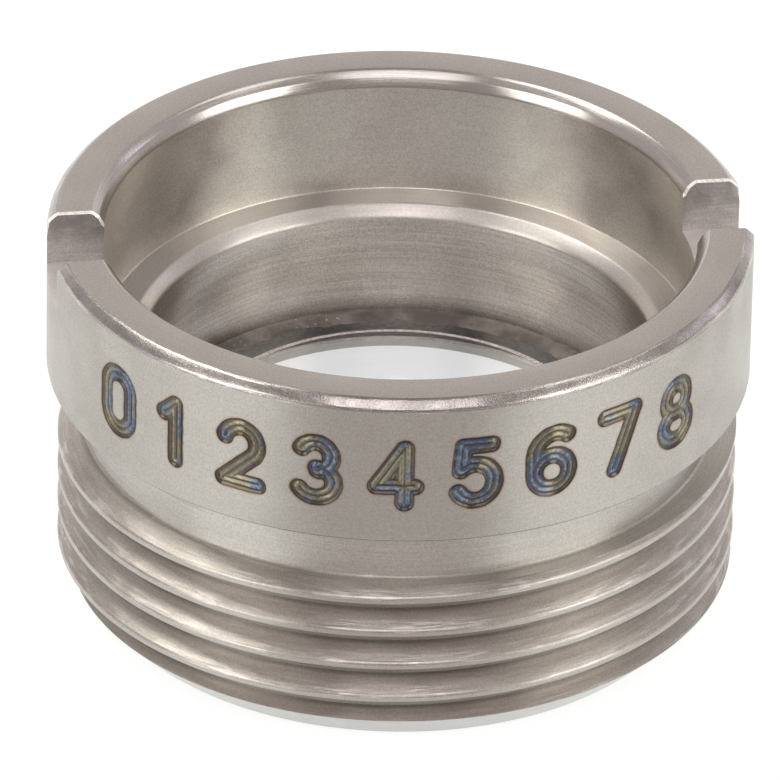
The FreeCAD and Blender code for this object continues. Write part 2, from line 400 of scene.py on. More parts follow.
def machined_steel(name, base, dark, line_width, streak, depth, roughness, anisotropy=0.8,
                   glints=0.0, pitch=0.0, grain_share=0.3, milled=False, extra=None):
    """Machined stainless steel: grain, speckle and painted glints, with this surface's own values."""
    material, tree, shader = new_material(name)
    tint = settings("lens_colours")["steel_tint"]
    base = tuple(part * share for part, share in zip(base, tint))
    dark = tuple(part * share for part, share in zip(dark, tint))
    if milled:
        grain = use_group(tree, "Milled Grain", Line_Width=line_width * MM,
                          Streak_Length=streak * MM)
    else:
        grain = use_group(tree, "Turned Grain", Line_Width=line_width * MM,
                          Streak_Length=streak * MM, Pitch=pitch * MM)
    speckle = use_group(tree, "Fine Speckle", Size=0.024 * MM)
    tone = maths(tree, "ADD",
                 maths(tree, "MULTIPLY", grain["Height"], grain_share),
                 maths(tree, "MULTIPLY", speckle["Value"], 1.0 - grain_share))
    shade = blend_colours(tree, ramp(tree, tone, 0.35, 0.65), (*dark, 1), (*base, 1))
    rough = ramp(tree, speckle["Patches"], 0.3, 0.7, roughness * 0.85, roughness * 1.15)
    # Glints: a painted highlight, the colour lightened along the grain's streaks, where the metal is
    # also made smoother
    if glints:
        bright = tuple(min(1.0, part * 1.35) for part in base)
        mask = maths(tree, "MULTIPLY", grain["Streaks"], glints)
        shade = blend_colours(tree, mask, shade, (*bright, 1))
        rough = maths(tree, "SUBTRACT", rough, maths(tree, "MULTIPLY", mask, roughness * 0.5))
    lift = 0.0
    if extra:
        shade, rough, lift = extra(tree, shade, rough)
    feed(tree, shader.inputs["Base Color"], shade)
    if roughness > MIRROR_ROUGHNESS:
        rough = maths(tree, "MAXIMUM", rough, MIRROR_ROUGHNESS + MIRROR_MARGIN)
    else:
        rough = maths(tree, "MINIMUM", rough, MIRROR_ROUGHNESS - MIRROR_MARGIN)
    feed(tree, shader.inputs["Roughness"], rough)
    shader.inputs["Metallic"].default_value = 1.0
    shader.inputs["Anisotropic"].default_value = anisotropy
    shader.inputs["Anisotropic Rotation"].default_value = 0.25
    tangent = add_node(tree, "ShaderNodeTangent", direction_type="RADIAL", axis="Z")
    feed(tree, shader.inputs["Tangent"], tangent.outputs[0])
    relief = maths(tree, "ADD", maths(tree, "MULTIPLY", grain["Height"], 2 * grain_share),
                   maths(tree, "MULTIPLY", speckle["Value"], 0.4))
    relief = maths(tree, "ADD", relief, lift)
    bump = add_node(tree, "ShaderNodeBump")
    bump.inputs["Distance"].default_value = depth * MM
    feed(tree, bump.inputs["Height"], relief)
    feed(tree, shader.inputs["Normal"], bump.outputs[0])
    return material


def thread_wear(tree, shade, rough):
    """Torn metal below the crests, its brighter colour partly wear and partly a painted highlight,
    and a little painted shade in the roots.
    """
    thread = settings("lens_thread_sizes")
    colours = settings("lens_colours")
    place, _, radius = lathe_position(tree)
    crest = thread["radius"] * MM
    root = crest - thread["depth"] * MM
    # Painted shade: the roots darkened towards their bottom
    dirt = ramp(tree, radius, root, root + 0.07 * MM, 0.45, 0.0)
    shade = blend_colours(tree, dirt, shade, colours["root_dirt"])
    grain = use_group(tree, "Turned Grain", Line_Width=0.018 * MM, Streak_Length=0.6 * MM,
                      Pitch=thread["pitch"] * MM)
    broken = ramp(tree, cloud(tree, place, 1.6 / MM, 2.0), 0.4, 0.6, 0.35, 1.0)
    torn = maths(tree, "MULTIPLY", broken, ramp(tree, radius, crest - 0.2 * MM, crest - 0.06 * MM))
    worn = maths(tree, "MULTIPLY", torn, ramp(tree, grain["Height"], 0.5, 0.62))
    # The streaks' brighter colour is partly wear and partly a painted highlight; the lift below
    # roughens them for real
    shade = blend_colours(tree, maths(tree, "MULTIPLY", worn, 0.6), shade, colours["torn_metal"])
    lift = maths(tree, "MULTIPLY", torn, maths(tree, "MULTIPLY", grain["Height"], 4.0))
    return shade, rough, lift


def slot_soil(tree, shade, rough):
    """Darker colour in uneven patches on the upper part of the slots' walls."""
    place, axes, _ = lathe_position(tree)
    top = settings("lens_cell_sizes")["height"] * MM
    height = ramp(tree, axes["Z"], top - 0.6 * MM, top - 0.2 * MM, 0.1, 0.75)
    patches = ramp(tree, cloud(tree, place, 5.0 / MM, 3.0), 0.38, 0.62, 0.45, 1.0)
    soil = maths(tree, "MULTIPLY", height, patches)
    return blend_colours(tree, soil, shade, settings("lens_colours")["slot_soil"]), rough, 0.0


def laser_tint(tree, shade, rough):
    """Heat colours in the marked strokes; "stroke" is 0 on their middle line and 1 at the edge."""
    colours = settings("lens_colours")
    stroke = add_node(tree, "ShaderNodeAttribute", attribute_name="stroke").outputs["Fac"]
    speckle = use_group(tree, "Fine Speckle", Size=0.05 * MM)
    drift = cloud(tree, object_place(tree), 2.2 / MM, 2.0)
    inside = ramp(tree, stroke, 0.95, 1.02, 1.0, 0.0)
    halo = ramp(tree, stroke, 0.98, 1.25, 0.55, 0.0)
    shade = blend_colours(tree, halo, shade, colours["mark_halo"])
    heat = blend_colours(tree, ramp(tree, drift, 0.42, 0.58),
                         colours["mark_blue"], colours["mark_olive"])
    ripple = maths(tree, "COSINE", maths(tree, "MULTIPLY", stroke, 3 * math.pi))
    heat = blend_colours(tree, ramp(tree, ripple, 0.2, 1.0, 0.0, 0.7), heat,
                         colours["mark_brown"])
    ridge = maths(tree, "MULTIPLY", ramp(tree, speckle["Value"], 0.4, 0.7),
                  ramp(tree, ripple, -1.0, 0.2, 0.8, 0.15))
    heat = blend_colours(tree, ridge, heat, colours["mark_straw"])
    heat = blend_colours(tree, ramp(tree, stroke, 0.66, 0.92), heat, colours["mark_brown"])
    shade = blend_colours(tree, inside, shade, heat)
    rough = maths(tree, "SUBTRACT", rough, maths(tree, "MULTIPLY", inside, 0.08))
    return shade, rough, maths(tree, "MULTIPLY", inside, speckle["Value"])


STEEL = (0.52, 0.50, 0.465)
STEEL_DARK = (0.42, 0.395, 0.37)

# The cell's surfaces: name of the material, then what machined_steel is given. Line width,
# streak, depth and pitch are in millimetres.
# Some bases are painted light: the bore, the pocket, the step, the lead-in and the slot floor are lit
# copies of the steel, brighter than the top face
CELL_FINISHES = {
    "collar_steel": dict(base=STEEL, dark=STEEL_DARK, line_width=0.02, streak=1.5, depth=0.001,
                         roughness=0.38, grain_share=0.15, extra=laser_tint),
    "face_steel": dict(base=(0.525, 0.485, 0.455), dark=(0.405, 0.375, 0.35),
                       line_width=0.018, streak=2.5, depth=0.0012, roughness=0.42,
                       anisotropy=0.0, grain_share=0.15),
    "chamfer_steel": dict(base=(0.57, 0.535, 0.525), dark=(0.49, 0.455, 0.44), line_width=0.02,
                          streak=1.4, depth=0.0011, roughness=0.2, anisotropy=0.2,
                          grain_share=0.5, glints=0.35),
    "step_steel": dict(base=(0.62, 0.585, 0.57), dark=(0.5, 0.465, 0.45), line_width=0.03,
                       streak=2.0, depth=0.001, roughness=0.34, anisotropy=0.5),
    "rim_steel": dict(base=(0.56, 0.525, 0.515), dark=(0.31, 0.285, 0.275), line_width=0.018,
                      streak=0.9, depth=0.006, roughness=0.2, anisotropy=0.2,
                      grain_share=0.65, glints=0.8),
    "bore_steel": dict(base=(0.73, 0.695, 0.645), dark=(0.55, 0.52, 0.485), line_width=0.02,
                       streak=2.0, depth=0.001, roughness=0.34, grain_share=0.2),
    "pocket_steel": dict(base=(0.78, 0.74, 0.7), dark=(0.5, 0.47, 0.44), line_width=0.03,
                         streak=2.5, depth=0.001, roughness=0.31, grain_share=0.4),
    "exit_steel": dict(base=(0.44, 0.435, 0.41), dark=(0.36, 0.35, 0.33), line_width=0.02,
                       streak=2.0, depth=0.001, roughness=0.35),
    "relief_steel": dict(base=(0.62, 0.595, 0.56), dark=(0.46, 0.435, 0.41), line_width=0.02,
                         streak=2.0, depth=0.001, roughness=0.37, grain_share=0.35),
    # Painted shade: a dark copy of the steel on the collar's lower edge break draws the shadow line
    # under the collar
    "soiled_steel": dict(base=(0.22, 0.2, 0.185), dark=(0.12, 0.11, 0.1), line_width=0.02,
                         streak=1.0, depth=0.001, roughness=0.45),
    "thread_steel": dict(base=(0.54, 0.5, 0.47), dark=(0.39, 0.355, 0.33), line_width=0.02,
                         streak=0.8, depth=0.0018, roughness=0.35, anisotropy=0.6, pitch=0.5,
                         grain_share=0.4, extra=thread_wear),
    "crest_steel": dict(base=STEEL, dark=STEEL_DARK, line_width=0.015, streak=1.2,
                        depth=0.001, roughness=0.3, pitch=0.5, glints=0.4),
    "lead_steel": dict(base=(0.62, 0.62, 0.6), dark=(0.5, 0.49, 0.475), line_width=0.02,
                       streak=0.8, depth=0.001, roughness=0.3),
    "milled_steel": dict(base=(0.57, 0.535, 0.53), dark=(0.4, 0.365, 0.36), line_width=0.04,
                         streak=0.35, depth=0.004, roughness=0.55, anisotropy=0.0, glints=0.2,
                         grain_share=0.35, milled=True, extra=slot_soil),
    # Painted light: a near-white lit copy of the milled steel on the slots' floors
    "slot_floor_steel": dict(base=(0.95, 0.93, 0.925), dark=(0.84, 0.82, 0.81),
                             line_width=0.03, streak=0.5, depth=0.002, roughness=0.42,
                             anisotropy=0.0, milled=True),
    # Painted highlight: a near-white copy of the steel on the slots' ragged burrs and the exit's
    # chamfered edges
    "burr_steel": dict(base=(0.95, 0.91, 0.9), dark=(0.6, 0.55, 0.53), line_width=0.02,
                       streak=0.12, depth=0.004, roughness=0.45, anisotropy=0.0, glints=0.8,
                       grain_share=0.5),
}


def glass_material():
    """Coated moulded glass."""
    material, _, shader = new_material("coated_glass")
    shader.inputs["Base Color"].default_value = settings("lens_colours")["glass"]
    shader.inputs["Roughness"].default_value = 0.0
    shader.inputs["Metallic"].default_value = 0.0
    shader.inputs["Transmission Weight"].default_value = 1.0
    shader.inputs["IOR"].default_value = 1.59
    shader.inputs["Specular IOR Level"].default_value = 0.15
    return material


def edge_material():
    """The slightly frosted step where the moulded surface meets the flange; its pale pinkish colour
    is partly a painted highlight.
    """
    material, tree, shader = new_material("moulded_edge")
    speckle = use_group(tree, "Fine Speckle", Size=0.04 * MM)
    # Partly a painted highlight: the pale pinkish colour of the step
    shade = blend_colours(tree, ramp(tree, speckle["Value"], 0.35, 0.65),
                          (0.4, 0.355, 0.36, 1), (0.9, 0.82, 0.825, 1))
    feed(tree, shader.inputs["Base Color"], shade)
    shader.inputs["Roughness"].default_value = 0.4
    return material


def rim_material():
    """The lens's rim, wetted by the adhesive."""
    material, tree, shader = new_material("bonded_rim")
    speckle = use_group(tree, "Fine Speckle", Size=0.08 * MM)
    shade = blend_colours(tree, ramp(tree, speckle["Value"], 0.35, 0.7),
                          (0.1, 0.075, 0.068, 1), (0.2, 0.165, 0.15, 1))
    feed(tree, shader.inputs["Base Color"], shade)
    shader.inputs["Roughness"].default_value = 0.45
    return material


def bond_material():
    """Cured adhesive, cloudy brown with a few bright specks painted as highlights."""
    material, tree, shader = new_material("cured_adhesive")
    colours = settings("lens_colours")
    speckle = use_group(tree, "Fine Speckle", Size=0.045 * MM)
    place = object_place(tree)
    blotch = cloud(tree, place, 2.6 / MM, 3.0, 0.55)
    shade = blend_colours(tree, ramp(tree, blotch, 0.38, 0.66),
                          colours["adhesive_dark"], colours["adhesive_pale"])
    shade = blend_colours(tree, ramp(tree, speckle["Value"], 0.3, 0.7, 0.0, 0.35), shade,
                          colours["adhesive_dark"])
    # Painted highlight: a few near-white specks in the adhesive's colour
    glint = maths(tree, "MULTIPLY", ramp(tree, speckle["Value"], 0.66, 0.7),
                  ramp(tree, cloud(tree, place, 1.1 / MM, 1.0), 0.56, 0.62))
    shade = blend_colours(tree, glint, shade, (0.85, 0.83, 0.82, 1))
    feed(tree, shader.inputs["Base Color"], shade)
    feed(tree, shader.inputs["Roughness"], ramp(tree, speckle["Patches"], 0.3, 0.7, 0.25, 0.45))
    bump = add_node(tree, "ShaderNodeBump")
    bump.inputs["Distance"].default_value = 0.004 * MM
    feed(tree, bump.inputs["Height"], speckle["Value"])
    feed(tree, shader.inputs["Normal"], bump.outputs[0])
    return material


# Strokes of the numerals 0 to 8, in a box 0.6 wide and 1 high. A corner is x and y; an arc is
# centre x and y, half width, half height, and its start and end in degrees.
NUMERALS = (
    (((0.3, 0.7, 0.3, 0.3, 0, 180), (0.3, 0.3, 0.3, 0.3, 180, 360), (0.6, 0.7)),),
    (((0.1, 0.78), (0.34, 1.0), (0.34, 0.0)),),
    (((0.3, 0.7, 0.29, 0.3, 165, -35), (0.0, 0.0), (0.6, 0.0)),),
    (((0.29, 0.74, 0.26, 0.26, 150, -80),), ((0.29, 0.27, 0.3, 0.27, 85, -150),)),
    (((0.44, 0.0), (0.44, 1.0), (0.0, 0.3), (0.6, 0.3)),),
    (((0.54, 1.0), (0.1, 1.0), (0.06, 0.56), (0.29, 0.33, 0.31, 0.33, 130, -150)),),
    (((0.36, 0.62, 0.36, 0.38, 55, 180), (0.3, 0.3, 0.3, 0.3, 180, 540)),),
    (((0.0, 1.0), (0.6, 1.0), (0.2, 0.0)),),
    (((0.3, 0.75, 0.25, 0.25, -90, 270),), ((0.3, 0.26, 0.3, 0.26, 90, 450),)),
)


# Shapes

def closed_section(corners):
    """A flat face in the XZ plane; each corner is its radius, its height and its rounding."""
    bm = bmesh.new()
    verts = []
    for radius, height, rounding in corners:
        verts.append((bm.verts.new((radius, 0, height)), rounding))
    bm.faces.new([vert for vert, rounding in verts])
    for vert, rounding in verts:
        if rounding:
            bmesh.ops.bevel(
                bm, geom=[vert], offset=rounding, offset_type="OFFSET", segments=3,
                profile=0.5, affect="VERTICES", material=-1)
    return bm


def spin_section(bm, steps):
    """Turns the section's outline a full circle about the axis."""
    faces = list(bm.faces)
    bmesh.ops.delete(bm, geom=faces, context="FACES_ONLY")
    bmesh.ops.spin(
        bm, geom=list(bm.verts) + list(bm.edges), cent=(0, 0, 0), axis=Z_AXIS,
        angle=math.tau, steps=steps, use_merge=True)
    bmesh.ops.remove_doubles(bm, verts=bm.verts, dist=WELD)
    bmesh.ops.recalc_face_normals(bm, faces=bm.faces)


def to_object(bm, name):
    """An object from a bmesh that is still in millimetres."""
    mesh = bpy.data.meshes.new(name)
    bm.to_mesh(mesh)
    bm.free()
    piece = bpy.data.objects.new(name, mesh)
    bpy.context.scene.collection.objects.link(piece)
    return piece


def carve(piece, tool, operation):
    """Applies a boolean of the tool to the piece and deletes the tool."""
    modifier = piece.modifiers.new("Carve", "BOOLEAN")
    modifier.operation = operation
    modifier.solver = "EXACT"
    modifier.object = tool
    bpy.context.view_layer.update()
    graph = bpy.context.evaluated_depsgraph_get()
    mesh = bpy.data.meshes.new_from_object(piece.evaluated_get(graph))
    old = piece.data
    piece.modifiers.clear()
    piece.data = mesh
    bpy.data.meshes.remove(old)
    spent = tool.data
    bpy.data.objects.remove(tool)
    bpy.data.meshes.remove(spent)


def complete(piece, node, smooth_angle=30.0):
    """Brings a finished piece to metres, smooths it and makes it stand for its solid."""
    piece.data.transform(Matrix.Scale(MM, 4))
    piece.data.shade_smooth()
    piece.data.set_sharp_from_angle(angle=math.radians(smooth_angle))
    bm = bmesh.new()
    bm.from_mesh(piece.data)
    for edge in bm.edges:
        if len({face.material_index for face in edge.link_faces}) > 1:
            edge.smooth = False
    bm.to_mesh(piece.data)
    bm.free()
    piece.data.validate()
    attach(piece, "root")
    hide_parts(node)
    if len(piece.data.polygons) == 0:
        raise RuntimeError("%s is empty" % piece.name)


def cell_blank():
    """The turned cell with a plain band, a little wider than the crests, for the thread."""
    cell = settings("lens_cell_sizes")
    thread = settings("lens_thread_sizes")
    edge = cell["edge_radius"]
    top = cell["height"]
    shoulder = top - cell["collar_height"]
    thread_top = shoulder - cell["relief_width"]
    ledge = top - cell["bore_depth"]
    band = thread["radius"] + 0.1
    lead_start = thread["radius"] - thread["lead"]
    bm = closed_section((
        (cell["exit_radius"] + cell["exit_chamfer"], 0, edge),
        (lead_start, 0, edge),
        (band, band - lead_start, 0),
        (band, thread_top, 0),
        (cell["relief_radius"], thread_top, cell["relief_fillet"]),
        (cell["relief_radius"], shoulder, cell["relief_fillet"]),
        (cell["collar_radius"] - cell["collar_edge"], shoulder, edge / 2),
        (cell["collar_radius"], shoulder + cell["collar_edge"], edge / 2),
        (cell["collar_radius"], top - cell["outer_chamfer"], edge * 3),
        (cell["collar_radius"] - cell["outer_chamfer"], top, edge * 3),
        (cell["bore_radius"] + cell["inner_chamfer"], top, edge * 3),
        (cell["bore_radius"] + 0.4 * cell["inner_chamfer"], top - 0.6 * cell["inner_chamfer"],
         edge),
        (cell["bore_radius"], top - 1.4 * cell["inner_chamfer"], edge * 3),
        (cell["bore_radius"], ledge, edge * 2),
        (cell["pocket_radius"] + cell["pocket_chamfer"], ledge, edge * 2),
        (cell["pocket_radius"], ledge - cell["pocket_chamfer"], edge * 3),
        (cell["pocket_radius"], cell["seat_height"], edge),
        (cell["exit_radius"] + cell["lip_edge"], cell["seat_height"], 0),
        (cell["exit_radius"], cell["seat_height"] - 0.6 * cell["lip_edge"], 0),
        (cell["exit_radius"], cell["exit_chamfer"], edge),
    ))
    spin_section(bm, CELL_STEPS)
    return to_object(bm, "turned_cell")


def thread_profile():
    """One pitch of the thread as radii and heights, from the middle of one root to the next."""
    thread = settings("lens_thread_sizes")
    crest = thread["radius"]
    root = crest - thread["depth"]
    half_root = thread["root"] / 2
    low_crest = (thread["pitch"] - thread["crest"]) / 2
    high_crest = thread["pitch"] - low_crest
    nose = thread["crest_radius"]
    corner = Vector((crest, high_crest))
    flank = (Vector((root, thread["pitch"] - half_root)) - corner).normalized()
    worn = []
    for share in (0.0, 1 / 3, 2 / 3, 1.0):
        down = (1 - share) ** 2 * thread["wear"]
        along = share ** 2 * thread["wear"]
        worn.append(tuple(corner - Vector((0, down)) + flank * along))
    return (
        (root, 0.0),
        (root, half_root),
        (root + nose, half_root + nose),
        (crest - nose, low_crest - nose / 2),
        (crest, low_crest + nose / 2),
        *worn,
        (root + nose, thread["pitch"] - half_root - nose),
        (root, thread["pitch"] - half_root),
    )


def threaded_bar():
    """A bar with the whole thread on it and a wide plain head over the relief and the collar."""
    cell = settings("lens_cell_sizes")
    thread = settings("lens_thread_sizes")
    pitch = thread["pitch"]
    bottom = -pitch / 2
    relief_middle = cell["height"] - cell["collar_height"] - cell["relief_width"] / 2
    # Enough turns to stand out past both cuts, which trim them
    turns = math.ceil((relief_middle - bottom) / pitch) + 3
    start = -thread["entry"] - 2 * pitch
    bm = bmesh.new()
    chain = []
    for turn in range(turns):
        for radius, height in thread_profile():
            chain.append(bm.verts.new((radius, 0, start + turn * pitch + height)))
    for low, high in zip(chain, chain[1:]):
        bm.edges.new((low, high))
    bmesh.ops.spin(
        bm, geom=list(bm.verts) + list(bm.edges), cent=(0, 0, 0), axis=Z_AXIS,
        dvec=Z_AXIS * (pitch / CELL_STEPS), angle=math.tau, steps=CELL_STEPS)
    bmesh.ops.remove_doubles(bm, verts=bm.verts, dist=WELD)
    for height, side in ((bottom, -1), (relief_middle, 1)):
        bmesh.ops.bisect_plane(
            bm, geom=list(bm.verts) + list(bm.edges) + list(bm.faces), dist=WELD / 10,
            plane_co=(0, 0, height), plane_no=(0, 0, side), clear_outer=True)
    low_rim = []
    high_rim = []
    for edge in bm.edges:
        if edge.is_boundary:
            rim = low_rim if edge.verts[0].co.z < (bottom + relief_middle) / 2 else high_rim
            rim.append(edge)
    bmesh.ops.contextual_create(bm, geom=low_rim)
    head = cell["collar_radius"] + CLEARANCE
    grown = bmesh.ops.extrude_edge_only(bm, edges=high_rim)["geom"]
    for vert in grown:
        if isinstance(vert, bmesh.types.BMVert):
            flat = Vector((vert.co.x, vert.co.y, 0)).normalized() * head
            vert.co = (flat.x, flat.y, relief_middle)
    rim = [item for item in grown if isinstance(item, bmesh.types.BMEdge)]
    grown = bmesh.ops.extrude_edge_only(bm, edges=rim)["geom"]
    for vert in grown:
        if isinstance(vert, bmesh.types.BMVert):
            vert.co.z = cell["height"] + CLEARANCE
    rim = [item for item in grown if isinstance(item, bmesh.types.BMEdge)]
    bmesh.ops.contextual_create(bm, geom=rim)
    bmesh.ops.recalc_face_normals(bm, faces=bm.faces)
    return to_object(bm, "threaded_bar")


def slot_cutter():
    """The milling cutter's path across the top face."""
    cell = settings("lens_cell_sizes")
    bm = bmesh.new()
    bmesh.ops.create_cube(bm, size=1.0)
    reach = 2 * (cell["collar_radius"] + CLEARANCE)
    tall = cell["slot_depth"] + CLEARANCE
    bmesh.ops.scale(bm, vec=(reach, cell["slot_width"], tall), verts=bm.verts)
    middle = cell["height"] - cell["slot_depth"] + tall / 2
    bmesh.ops.translate(bm, vec=(0, 0, middle), verts=bm.verts)
    return to_object(bm, "slot_cutter")


def cell_surface(face, cell, thread):
    """The name of the finish that a face of the cell has, from where it is and how it lies."""
    middle = face.calc_center_median()
    radius = math.hypot(middle.x, middle.y)
    top = cell["height"]
    shoulder = top - cell["collar_height"]
    ledge = top - cell["bore_depth"]
    slot_floor = top - cell["slot_depth"]
    slot_wall = cell["slot_width"] / 2
    if abs(middle.y) < slot_wall + NEAR and middle.z > slot_floor - NEAR:
        if abs(middle.y) > slot_wall - NEAR and abs(face.normal.y) > 0.9:
            return "milled_steel"
        if middle.z < slot_floor + NEAR and face.normal.z > 0.9:
            return "slot_floor_steel"
    if face.normal.z > 0.95 and middle.z > top - NEAR:
        return "face_steel"
    if middle.z > top - 1.5 * cell["inner_chamfer"] - NEAR and abs(face.normal.z) > 0.05:
        is_inside = radius < (cell["bore_radius"] + cell["collar_radius"]) / 2
        return "chamfer_steel" if is_inside else "rim_steel"
    if radius > cell["collar_radius"] - NEAR:
        return "collar_steel"
    # The collar's lower edge break gets the painted shadow line
    if radius > cell["collar_radius"] - cell["collar_edge"] - NEAR and middle.z > shoulder - NEAR:
        return "soiled_steel"
    if radius < cell["bore_radius"] + NEAR:
        if face.normal.z > 0.95 and middle.z > ledge - NEAR:
            return "step_steel"
        if middle.z < cell["seat_height"] + NEAR:
            # The exit's chamfered edges get the burrs' painted highlight
            on_edge = 0.1 < face.normal.z < 0.95
            return "burr_steel" if on_edge else "exit_steel"
        if middle.z > ledge - NEAR:
            return "bore_steel"
        on_edge = middle.z > ledge - cell["pocket_chamfer"] - NEAR and face.normal.z > 0.1
        return "step_steel" if on_edge else "pocket_steel"
    if middle.z > shoulder - cell["relief_width"] - NEAR:
        return "relief_steel"
    if radius > thread["radius"] - NEAR and abs(face.normal.z) < 0.1:
        return "crest_steel"
    if abs(radius - middle.z - thread["radius"] + thread["lead"]) < NEAR and middle.z > NEAR:
        return "lead_steel"
    return "thread_steel"


def slot_rims(bm, names):
    """The edges where the slots' walls meet the top face and its chamfers."""
    milled = names.index("milled_steel")
    turned = {names.index(name) for name in ("face_steel", "chamfer_steel", "rim_steel")}
    edges = []
    for edge in bm.edges:
        kinds = {face.material_index for face in edge.link_faces}
        is_wall = any(face.material_index == milled and abs(face.normal.y) > 0.9
                      for face in edge.link_faces)
        if is_wall and kinds & turned:
            edges.append(edge)
    return edges


def raise_burrs(bm, names, cell):
    """Ragged bevels along the slots' upper edges."""
    wall = cell["slot_width"] / 2
    room = 1.5 * cell["burr_width"]
    # Columns of the top face that end too close to a slot stand back, so that a bevel has room
    for vert in bm.verts:
        is_beside = SLIVER < abs(vert.co.y) - wall < room
        if is_beside and vert.co.z > cell["height"] - cell["slot_depth"] + WELD:
            radius = math.hypot(vert.co.x, vert.co.y)
            vert.co.y = math.copysign(wall + room, vert.co.y)
            vert.co.x = math.copysign(math.sqrt(radius ** 2 - vert.co.y ** 2), vert.co.x)
    # Slanting edges that the boolean left inside one finish would break the bevel's line
    slanting = set()
    for rim in slot_rims(bm, names):
        for vert in rim.verts:
            for edge in vert.link_edges:
                way = (edge.verts[0].co - edge.verts[1].co).normalized()
                kinds = {face.material_index for face in edge.link_faces}
                if len(kinds) == 1 and 0.001 < abs(way.y) < 0.9:
                    slanting.add(edge)
    bmesh.ops.dissolve_edges(bm, edges=list(slanting), use_verts=False, use_face_split=False)
    for edge in slot_rims(bm, names):
        pieces = round(edge.calc_length() / cell["burr_width"])
        start = edge.verts[0]
        for left in range(pieces, 1, -1):
            start = bmesh.utils.edge_split(edge, start, 1 / left)[1]
    grown = bmesh.ops.bevel(
        bm, geom=slot_rims(bm, names), offset=cell["burr_width"], offset_type="OFFSET",
        segments=1, profile=0.5, affect="EDGES", clamp_overlap=False, material=-1)
    outer = set()
    # The burrs' bevels get the near-white finish, a painted highlight
    for face in grown["faces"]:
        face.material_index = names.index("burr_steel")
        for vert in face.verts:
            if vert.co.z > cell["height"] - WELD:
                outer.add(vert)
    for vert in outer:
        ragged = noise.noise(vert.co * 14) * 0.4 * cell["burr_width"]
        vert.co.y += math.copysign(ragged, vert.co.y)
    for vert in bm.verts:
        vert.co.z = min(vert.co.z, cell["height"])


def stroke_points(stroke):
    """Points along one stroke; an item of six numbers is an arc, one of two is a corner."""
    points = []
    for item in stroke:
        if len(item) == 2:
            points.append(item)
            continue
        x, y, half_width, half_height, begin, end = item
        steps = max(4, int(abs(end - begin) / 9))
        for step in range(steps + 1):
            turn = math.radians(begin + (end - begin) * step / steps)
            points.append((x + half_width * math.cos(turn), y + half_height * math.sin(turn)))
    return points


def mark_segments(mark, radius):
    """Straight pieces of all numerals on the unrolled collar: start, end and numeral's place."""
    segments = []
    count = len(NUMERALS)
    for number, strokes in enumerate(NUMERALS):
        middle = radius * mark["pitch"] * (number - (count - 1) / 2)
        for stroke in strokes:
            points = []
            for x, y in stroke_points(stroke):
                points.append((middle + (x - 0.3) * mark["height"], (y - 0.5) * mark["height"]))
            for first, second in zip(points, points[1:]):
                segments.append((first, second, middle))
    return segments


def stroke_distance(u, v, segments, reach):
    """Distance from a point on the unrolled collar to the nearest stroke's middle line."""
    best = reach
    for (ax, ay), (bx, by), middle in segments:
        if abs(u - middle) > reach:
            continue
        dx, dy = bx - ax, by - ay
        share = ((u - ax) * dx + (v - ay) * dy) / (dx * dx + dy * dy)
        share = max(0.0, min(1.0, share))
        gap = math.hypot(u - ax - share * dx, v - ay - share * dy)
        best = min(best, gap)
    return best


def engrave_marks(bm, names, cell):
    """Laser-marked numerals round the front of the collar, as shallow rippled grooves."""
    mark = settings("lens_mark_sizes")
    layer = bm.verts.layers.float.new("stroke")
    for vert in bm.verts:
        vert[layer] = NO_STROKE
    radius = cell["collar_radius"]
    low = cell["height"] - cell["collar_height"] + cell["collar_edge"]
    high = cell["height"] - cell["outer_chamfer"]
    centre = (low + high) / 2
    half = mark["stroke_width"] / 2
    segments = mark_segments(mark, radius)
    span = radius * mark["pitch"] * len(NUMERALS) / 2 + half

    def unrolled(point):
        turn = math.atan2(point.y, point.x) - mark["azimuth"]
        turn = (turn + math.pi) % math.tau - math.pi
        return radius * turn, point.z - centre

    def on_wall(face):
        if face.material_index != names.index("collar_steel") or abs(face.normal.z) > 0.01:
            return False
        return abs(unrolled(face.calc_center_median())[0]) < span

    wall = [face for face in bm.faces if on_wall(face)]
    upright = set()
    for face in wall:
        for edge in face.edges:
            if abs(edge.verts[0].co.z - edge.verts[1].co.z) > (high - low) / 2:
                upright.add(edge)
    # Rows as high as the columns are wide, and finer faces near the strokes
    column = radius * math.tau / CELL_STEPS
    rows = round((high - low) / column)
    bmesh.ops.subdivide_edges(bm, edges=list(upright), cuts=rows - 1, use_grid_fill=True)
    near = []
    for face in bm.faces:
        if on_wall(face):
            u, v = unrolled(face.calc_center_median())
            if stroke_distance(u, v, segments, mark["height"]) < half * 1.3 + 0.7 * column:
                near.append(face)
    edges = {edge for face in near for edge in face.edges}
    bmesh.ops.subdivide_edges(
        bm, edges=list(edges), cuts=int(mark["fineness"]), use_grid_fill=True)
    for face in bm.faces:
        if not on_wall(face):
            continue
        for vert in face.verts:
            u, v = unrolled(vert.co)
            if vert[layer] != NO_STROKE or not low + 0.05 < vert.co.z < high - 0.05:
                continue
            ragged = 1 + mark["wander"] * noise.noise(Vector((u, v, 0)) * 9)
            share = ragged * stroke_distance(u, v, segments, mark["height"]) / half
            share = min(NO_STROKE, share)
            vert[layer] = share
            dip = 0.0
            if share < 1.0:
                ripple = 0.62 + 0.38 * math.cos(3 * math.pi * share)
                dip = mark["depth"] * (1 - share ** 6) * ripple
            flat = Vector((vert.co.x, vert.co.y, 0)).normalized() * (radius - dip)
            vert.co = (flat.x, flat.y, vert.co.z)


class MOUNTEDLENS_OT_finishes(bpy.types.Operator):
    """Make the materials of the cell, the lens and the adhesive"""

    bl_idname = "mounted_lens.finishes"
    bl_label = "Finishes"

    def execute(self, context):
        turned_grain_group()
        milled_grain_group()
        speckle_group()
        for name, values in CELL_FINISHES.items():
            machined_steel(name, **values)
        glass_material()
        edge_material()
        rim_material()
        bond_material()
        return {"FINISHED"}


